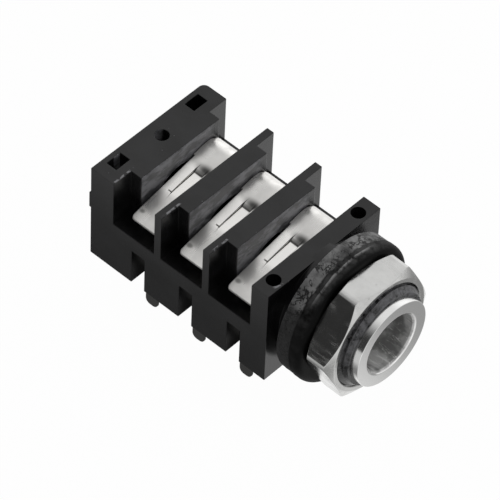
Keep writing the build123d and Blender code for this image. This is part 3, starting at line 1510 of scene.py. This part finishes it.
    def shape_tail(self, sheet: Bench) -> None:
        """Rounds the tail's corners and its bend.

        Args:
            sheet: the sheet, not yet thick.
        """
        sheet.round_off(
            Pick.POINTS, lambda at, way: at.y < -self.tail_end + ON_PLANE, self.tail_round, 6
        )
        sheet.round_off(
            Pick.EDGES,
            lambda at, way: abs(way.x) > STRAIGHT and abs(at.y + self.row) < ON_PLANE,
            self.tail_bend,
            3,
        )

    def break_strip(self) -> Bench:
        """Folds one break contact: pin, leg and the lip under the leaf's tail.

        Returns:
            The bench with the finished contact, at the first place.
        """
        drop = self.strip + self.break_gap
        corner = self.leaf(-self.row, drop)
        lip = self.leaf(-self.row + self.break_reach, drop)
        arc = self.rounded((-self.row, 0.0), corner, lip, self.break_bend, 8)
        sheet = self.sheet("break_strip", [(-self.row, self.pin_tip), *arc, lip], self.break_half)
        self.cut_pin(sheet, -self.row)
        self.thicken(sheet)
        return sheet

    def dress(self, finish: bpy.types.Material) -> None:
        """Copies both strips to the three contacts and puts them in place.

        Args:
            finish: its material.
        """
        spring = self.spring_strip()
        stop = self.break_strip()
        for index, name in enumerate(self.names):
            shift = (-index * self.pitch, 0, 0)
            moving = spring.copy(f"{name}_contact_strip", shift)
            nodes = (f"{name}_spring_arm", f"{name}_spring_post")
            piece = moving.deliver(finish, "contact_plating", *nodes)
            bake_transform(piece)
            still = stop.copy(f"{name}_break_strip", shift)
            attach(still.deliver(finish, "contact_plating", f"{name}_break_contact"), "socket")
        for bench in (spring, stop):
            bpy.data.objects.remove(bench.piece)


@dataclass
class Studio:
    """Camera, room light and floor, in metres."""

    eye: Point = (0.18530, -0.22525, 0.34203)
    target: Point = (-0.010674, 0.0, -0.001244)
    roll: float = 2.735
    lens: float = 337.1
    sensor: float = 36.0
    clip: Pair = (0.01, 50.0)
    floor_level: float = -0.01079
    floor_size: float = 6.0
    floor_color: Color = (0.82, 0.82, 0.82)
    white_to_camera: float = 0.98
    near_dim: float = 0.78
    outer_ease: float = 0.4
    mouth_dim: float = 0.65
    window_way: Point = (-0.15, 0.8, 0.6)
    mouth_way: Point = (1.0, -0.3, 0.1)
    horizon_way: Point = (-0.3, 0.95, 0.1)
    dark_side: float = 0.05
    bright_side: float = 1.0
    mouth_side: float = 0.9
    horizon_side: float = 0.4

    def camera(self) -> None:
        """Sets up the camera at the photograph's angle."""
        data = bpy.data.cameras.new("camera")
        data.lens = self.lens
        data.sensor_width = self.sensor
        data.clip_start, data.clip_end = self.clip
        camera = bpy.data.objects.new("camera", data)
        way = Vector(self.target) - Vector(self.eye)
        turn = way.to_track_quat("-Z", "Y").to_matrix().to_4x4()
        roll = Matrix.Rotation(math.radians(self.roll), 4, "Z")
        camera.matrix_world = Matrix.Translation(self.eye) @ turn @ roll
        bpy.context.scene.collection.objects.link(camera)
        bpy.context.scene.camera = camera

    def dimmed(self, paint: Paint) -> Term:
        """How dark the metal sees the floor: painted shade beside and under the socket, and by its
        mouth.

        Args:
            paint: the floor's node tree.

        Returns:
            The share of black at each place.
        """
        along, side, _ = paint.axes(paint.place())
        near = side.span(-4.0, -10.0) * along.span(30.0, 12.0)
        near = near.most(along.span(1.0, -3.0) * side.span(16.0, 10.0))
        near = near * (self.near_dim - self.outer_ease * side.span(-12.0, -26.0))
        mouth = self.mouth_dim * along.band(2.0, 10.0, 20.0, 45.0) * side.span(-8.0, 12.0)
        return near + mouth

    def floor(self) -> None:
        """Lays the pale floor, which stays white to the eye and keeps a soft shadow."""
        Bench.clear()
        place = (0, 0, self.floor_level)
        bpy.ops.mesh.primitive_plane_add(size=self.floor_size, location=place)
        floor = Bench.take("floor").piece
        material = bpy.data.materials.new("floor")
        material.use_nodes = True
        paint = Paint(material.node_tree)
        seen, mirrored, through = (
            paint.node("ShaderNodeLightPath", output=f"Is {ray} Ray")
            for ray in ("Camera", "Glossy", "Transmission")
        )
        bright = seen + (1.0 - seen) * (1.0 - self.dimmed(paint))
        share = self.white_to_camera * seen + mirrored + through
        lit = paint.node("ShaderNodeBsdfDiffuse", None, {"Color": (*self.floor_color, 1.0)})
        black, white = (
            paint.node("ShaderNodeEmission", None, {"Strength": strength})
            for strength in (0.0, 1.0)
        )
        glow = paint.node("ShaderNodeMixShader", None, {0: bright, 1: black, 2: white})
        paint.finish(paint.node("ShaderNodeMixShader", None, {0: share, 1: lit, 2: glow}))
        floor.data.materials.append(material)

    def world(self) -> None:
        """Lights the room from the window's side, and leaves the near side dark."""
        world = bpy.data.worlds.new("room")
        world.use_nodes = True
        bpy.context.scene.world = world
        paint = Paint(world.node_tree)
        way = paint.node("ShaderNodeTexCoord", output="Generated")
        window = paint.dot(way, self.window_way).span(-0.25, 0.7)
        mouth = paint.dot(way, self.mouth_way).span(0.6, 1.0)
        horizon = paint.dot(way, self.horizon_way).span(0.7, 1.0)
        strength = self.dark_side + self.bright_side * window
        strength = strength + self.mouth_side * mouth + self.horizon_side * horizon
        seen = paint.node("ShaderNodeLightPath", output="Is Camera Ray")
        strength = strength * (1.0 - seen) + seen
        paint.finish(paint.node("ShaderNodeBackground", None, {"Strength": strength}), "World")

    def build(self) -> None:
        """Builds the whole studio."""
        self.camera()
        self.floor()
        self.world()
        bpy.context.scene.view_settings.view_transform = "Standard"


def main() -> None:
    """Builds every piece, dresses it and sets up the studio."""
    logging.basicConfig(level=logging.INFO, format="%(message)s")
    plastic = MouldedPlastic("black_moulding", (0.0035, 0.0035, 0.0037), 0.25, ior=1.46).material()
    fibre = PressedFibre("pressed_fibre", (0.11, 0.11, 0.11), 0.62).material()
    rubber = WornRubber("worn_rubber", (0.0025, 0.0025, 0.0025), 0.5, gloss=0.08).material()
    satin = NutPlating("satin_nickel", (0.6, 0.6, 0.59), 0.2, 1.0).material()
    turned = TurnedPlating("turned_nickel", (0.84, 0.84, 0.83), 0.16, 1.0).material()
    plated = StripPlating("plated_strip", (0.74, 0.73, 0.71), 0.26, 1.0).material()
    Housing().dress(plastic)
    Sleeve().dress(turned)
    Washers().inner(fibre)
    Washers().outer(rubber)
    Nut().dress(satin)
    Contacts().dress(plated)
    Studio().build()


if __name__ == "__main__":
    main()
